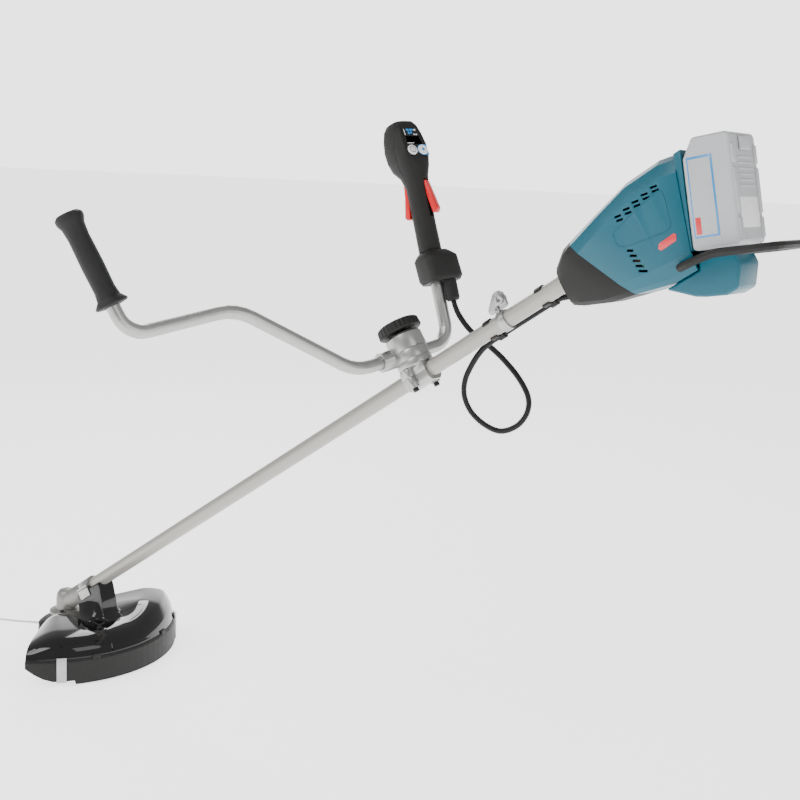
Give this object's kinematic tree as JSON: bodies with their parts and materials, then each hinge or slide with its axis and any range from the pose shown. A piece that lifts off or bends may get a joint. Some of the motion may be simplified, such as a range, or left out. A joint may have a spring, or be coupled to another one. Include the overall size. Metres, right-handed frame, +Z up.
{
  "type": "brush cutter",
  "caption": "Battery brush cutter: straight alloy pipe, swinging bicycle handlebar with trigger grip, rear motor housing, bevel gear head, nylon line trimmer head and guard",
  "frame": {"origin": "on the flat boss face of the harness lug, just above its eye", "axes": "+X back from the cutting head to the motor, +Y to the operator right, +Z up along the trimmer head spindle; the pipe rises at 34.5 degrees"},
  "size_m": [1.6637, 0.7033, 1.1284],
  "materials": {
    "satin_pipe": "satin light grey",
    "cast_alloy": "bead-blasted casting",
    "polished_alloy": "polished",
    "steel": "ground",
    "dark_steel": "black oxide",
    "gloss_black": "high gloss",
    "matte_black": "fine grain",
    "grip_rubber": "soft moulded",
    "teal": "satin",
    "red": "satin",
    "white": "satin",
    "cyan": "clear window",
    "pale_grey": "satin",
    "copper": "wound copper",
    "board_green": "lacquered",
    "nylon": "extruded"
  },
  "bodies": {
    "frame": {"outer_pipe": "satin_pipe", "gear_case": "cast_alloy", "gear_case_cover": "cast_alloy", "pipe_clamp_lower": "polished_alloy", "pipe_clamp_upper": "polished_alloy", "hanger_band": "polished_alloy", "guard_clamp_cap": "polished_alloy", "guard_clamp_plate": "polished_alloy", "spindle_bearing": "steel", "pinion_bearing": "steel", "line_cutter_left": "steel", "line_cutter_right": "steel", "handle_stud": "steel", "hanger_lug": "steel", "shaft_bush_front": "dark_steel", "shaft_bush_rear": "dark_steel", "gear_case_screw": "dark_steel", "pipe_clamp_bolt_left": "dark_steel", "pipe_clamp_bolt_right": "dark_steel", "guard_shield": "gloss_black", "guard_skirt": "matte_black", "cable_clip_front": "matte_black", "cable_clip_rear": "matte_black", "housing_front_cap": "matte_black", "battery_guard_bar": "matte_black", "control_cable": "grip_rubber", "housing_left_shell": "teal", "housing_right_shell": "teal", "lower_cover": "teal", "rear_plate": "teal", "motor_stator": "copper", "controller_board": "board_green"},
    "handle": {"handle_holder": "polished_alloy", "handle_cap": "polished_alloy", "handlebar": "polished_alloy", "left_grip": "grip_rubber", "control_front_shell": "matte_black", "control_rear_shell": "matte_black", "display_window": "cyan", "control_collar": "matte_black", "cable_gland": "grip_rubber"},
    "clamp_knob_body": {"clamp_knob": "matte_black"},
    "trigger_body": {"trigger": "red"},
    "lever_body": {"lock_off_lever": "red"},
    "power_body": {"power_button": "white"},
    "mode_body": {"mode_button": "white"},
    "battery_body": {"battery_case": "pale_grey"},
    "latch_body": {"battery_latch": "pale_grey"},
    "drive": {"drive_shaft": "steel", "bevel_pinion": "steel", "motor_rotor": "steel"},
    "output": {"output_spindle": "steel", "bevel_gear": "steel", "receiver_washer": "steel", "head_housing": "matte_black", "head_cover": "matte_black", "cutting_line_left": "nylon", "cutting_line_right": "nylon"},
    "bump": {"line_spool": "matte_black", "bump_knob": "matte_black"}
  },
  "joints": [
    {"name": "head_spin", "type": "hinge", "parent": "frame", "child": "output", "pos_m": [-1.03387, -0.0065, -0.75946], "axis": [0, 0, 1], "continuous": true},
    {"name": "drive_spin", "type": "hinge", "parent": "frame", "child": "drive", "pos_m": [-0.14134, -0.0065, -0.14604], "axis": [0.8241, 0, 0.5664], "continuous": true},
    {"name": "bump_feed", "type": "slide", "parent": "output", "child": "bump", "axis": [0, 0, 1], "range_m": [0, 0.006], "stiffness_N_per_m": 600, "springref_m": -0.004},
    {"name": "handle_swing", "type": "hinge", "parent": "frame", "child": "handle", "pos_m": [-0.14134, -0.0065, -0.14604], "axis": [-0.5664, 0, 0.8241], "range_deg": [-70, 20], "deforming": ["control_cable"]},
    {"name": "knob_turn", "type": "hinge", "parent": "handle", "child": "clamp_knob_body", "pos_m": [-0.14134, -0.0065, -0.14604], "axis": [-0.5664, 0, 0.8241], "range_deg": [0, 360]},
    {"name": "trigger_pull", "type": "hinge", "parent": "handle", "child": "trigger_body", "pos_m": [-0.26625, 0.10613, 0.15768], "axis": [0.1444, -0.9809, 0.1302], "range_deg": [0, 8], "stiffness_Nm_per_rad": 0.5, "springref_deg": -8.59},
    {"name": "lock_off_press", "type": "hinge", "parent": "handle", "child": "lever_body", "pos_m": [-0.23195, 0.11223, 0.16558], "axis": [-0.1444, 0.9809, -0.1302], "range_deg": [0, 8], "stiffness_Nm_per_rad": 0.4, "springref_deg": -8.59},
    {"name": "power_press", "type": "slide", "parent": "handle", "child": "power_body", "axis": [-0.7677, 0.3074, -0.5622], "range_m": [0, 0.0012], "stiffness_N_per_m": 900, "springref_m": -0.0008},
    {"name": "mode_press", "type": "slide", "parent": "handle", "child": "mode_body", "axis": [-0.7677, 0.3074, -0.5622], "range_m": [0, 0.0012], "stiffness_N_per_m": 900, "springref_m": -0.0008},
    {"name": "battery_slide", "type": "slide", "parent": "frame", "child": "battery_body", "axis": [-0.2164, 0, 0.9763], "range_m": [0, 0.11]},
    {"name": "latch_slide", "type": "slide", "parent": "battery_body", "child": "latch_body", "axis": [0.2164, 0, -0.9763], "range_m": [0, 0.004], "stiffness_N_per_m": 900, "springref_m": -0.002}
  ],
  "couplings": [
    {"joint": "drive_spin", "follows": "head_spin", "ratio": 1.4615}
  ]
}
